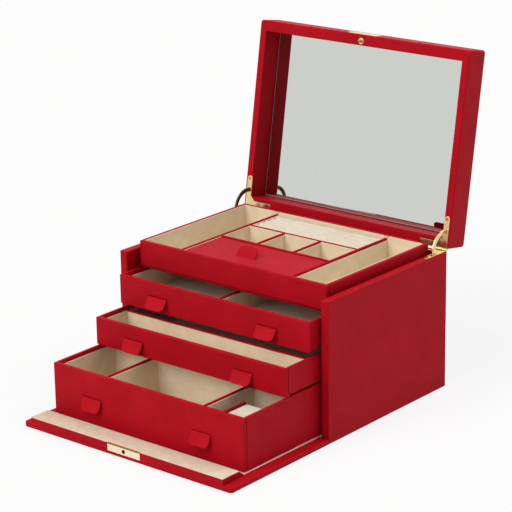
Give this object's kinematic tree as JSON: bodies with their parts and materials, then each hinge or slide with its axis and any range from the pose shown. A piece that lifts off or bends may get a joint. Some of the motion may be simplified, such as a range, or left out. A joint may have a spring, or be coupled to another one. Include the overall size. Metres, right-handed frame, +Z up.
{
  "type": "jewellery case",
  "caption": "Leather jewellery case with a mirrored lid on quadrant hinges, a lined tray with a hinged cover, pull-out drawers and a fall front with a lock.",
  "frame": {"origin": "centre of the case's base, on the surface it stands on (the fall front and the lid are left out of this centre)", "axes": "+X to the right along the front, +Y to the back, +Z up"},
  "size_m": [0.32, 0.4844, 0.413],
  "materials": {
    "red_leather": "smooth fine-grained leather, satin",
    "red_leather_edge": "thin leather turned over card edges, satin",
    "cream_suede": "short-nap suede lining, matt",
    "backing_board": "raw board, hidden behind the mirror",
    "mirror_glass": "silvered glass with a thin bevel",
    "brass": "polished and lacquered brass"
  },
  "bodies": {
    "case": {"side_panel_left": "red_leather", "side_panel_right": "red_leather", "back_panel": "red_leather", "base_panel": "red_leather_edge", "inner_cheeks": "red_leather_edge", "floor_lining": "cream_suede", "drawer_shelves": "red_leather_edge", "fall_front_hinge_strip": "cream_suede", "tray_front": "red_leather", "tray_back": "red_leather", "tray_sides": "red_leather", "tray_floor": "cream_suede", "tray_column_dividers": "red_leather_edge", "tray_cross_dividers": "red_leather_edge", "tray_cell_dividers": "red_leather_edge", "ring_rolls": "cream_suede", "cover_ledge": "cream_suede", "cover_hinge_strip": "red_leather_edge", "case_hinge_leaf_left": "brass", "case_hinge_leaf_right": "brass", "hinge_pins": "brass", "case_leaf_screws": "brass"},
    "lid": {"lid_wall_front": "red_leather", "lid_wall_back": "red_leather", "lid_wall_left": "red_leather", "lid_wall_right": "red_leather", "lid_top": "red_leather", "mirror_board": "backing_board", "lid_mirror": "mirror_glass", "lid_hinge_leaf_left": "brass", "lid_hinge_leaf_right": "brass", "lid_leaf_screws": "brass", "lock_stud": "brass", "lid_lock_plate": "brass"},
    "stay_left": {"lid_stay_left": "brass"},
    "stay_right": {"lid_stay_right": "brass"},
    "tray_cover": {"tray_cover": "red_leather", "tray_cover_tab": "red_leather"},
    "fall_front": {"fall_front": "red_leather", "fall_front_lining": "cream_suede", "lock_block": "red_leather", "strike_plate": "brass", "lock_case": "brass", "keyhole_plate": "brass"},
    "top_drawer": {"top_drawer_front": "red_leather", "top_drawer_walls": "red_leather", "top_drawer_floor": "cream_suede", "top_drawer_divider": "red_leather_edge", "top_drawer_tabs": "red_leather"},
    "middle_drawer": {"middle_drawer_front": "red_leather", "middle_drawer_walls": "red_leather", "middle_drawer_floor": "cream_suede", "middle_drawer_divider": "red_leather_edge", "middle_drawer_tabs": "red_leather"},
    "bottom_drawer": {"bottom_drawer_front": "red_leather", "bottom_drawer_walls": "red_leather", "bottom_drawer_floor": "cream_suede", "bottom_drawer_dividers": "red_leather_edge", "bottom_drawer_tabs": "red_leather", "watch_pillow": "cream_suede"}
  },
  "joints": [
    {"name": "lid_hinge", "type": "hinge", "parent": "case", "child": "lid", "pos_m": [0, 0.118, 0.1738], "axis": [-1, 0, 0], "range_deg": [-99.7, 0]},
    {"name": "lid_stay_left_turn", "type": "hinge", "parent": "case", "child": "stay_left", "pos_m": [0, 0.118, 0.1738], "axis": [-1, 0, 0], "range_deg": [-49.85, 0]},
    {"name": "lid_stay_right_turn", "type": "hinge", "parent": "case", "child": "stay_right", "pos_m": [0, 0.118, 0.1738], "axis": [-1, 0, 0], "range_deg": [-49.85, 0]},
    {"name": "tray_cover_hinge", "type": "hinge", "parent": "case", "child": "tray_cover", "pos_m": [0, -0.0188, 0.1805], "axis": [-1, 0, 0], "range_deg": [0, 100]},
    {"name": "top_drawer_slide", "type": "slide", "parent": "case", "child": "top_drawer", "axis": [0, -1, 0], "range_m": [-0.0351, 0.1249]},
    {"name": "middle_drawer_slide", "type": "slide", "parent": "case", "child": "middle_drawer", "axis": [0, -1, 0], "range_m": [-0.079, 0.081]},
    {"name": "bottom_drawer_slide", "type": "slide", "parent": "case", "child": "bottom_drawer", "axis": [0, -1, 0], "range_m": [-0.153, 0.0025]},
    {"name": "fall_front_hinge", "type": "hinge", "parent": "case", "child": "fall_front", "pos_m": [0, -0.1204, 0.0033], "axis": [1, 0, 0], "range_deg": [-0.15, 0]}
  ],
  "couplings": [
    {"joint": "lid_stay_left_turn", "follows": "lid_hinge", "ratio": 0.5},
    {"joint": "lid_stay_right_turn", "follows": "lid_hinge", "ratio": 0.5}
  ]
}
